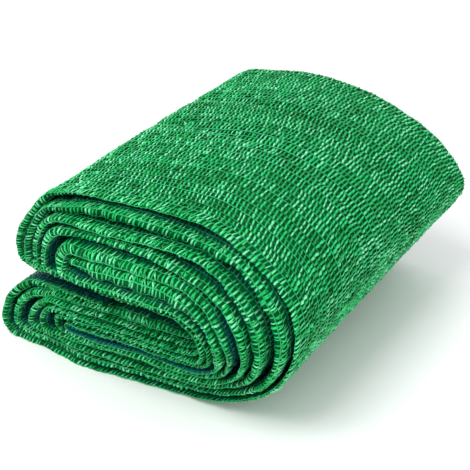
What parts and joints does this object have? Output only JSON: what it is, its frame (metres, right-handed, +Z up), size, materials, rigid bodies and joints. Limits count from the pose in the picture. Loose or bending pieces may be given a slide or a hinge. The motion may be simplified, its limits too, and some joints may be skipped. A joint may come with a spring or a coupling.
{
  "type": "folded shade netting",
  "caption": "Long strip of green knitted shade netting, wound flat and doubled over into a thick soft pack with its layers showing at the front.",
  "frame": {"origin": "middle of the pack's footprint, on the surface that it lies on", "axes": "+Z up, the layered front edges look towards -Y, and the round bend is on the +X side"},
  "size_m": [0.224, 0.2464, 0.1313],
  "materials": {
    "netting": "knitted polyethylene tape, soft sheen"
  },
  "bodies": {
    "root": {"netting": "netting"}
  },
  "joints": []
}
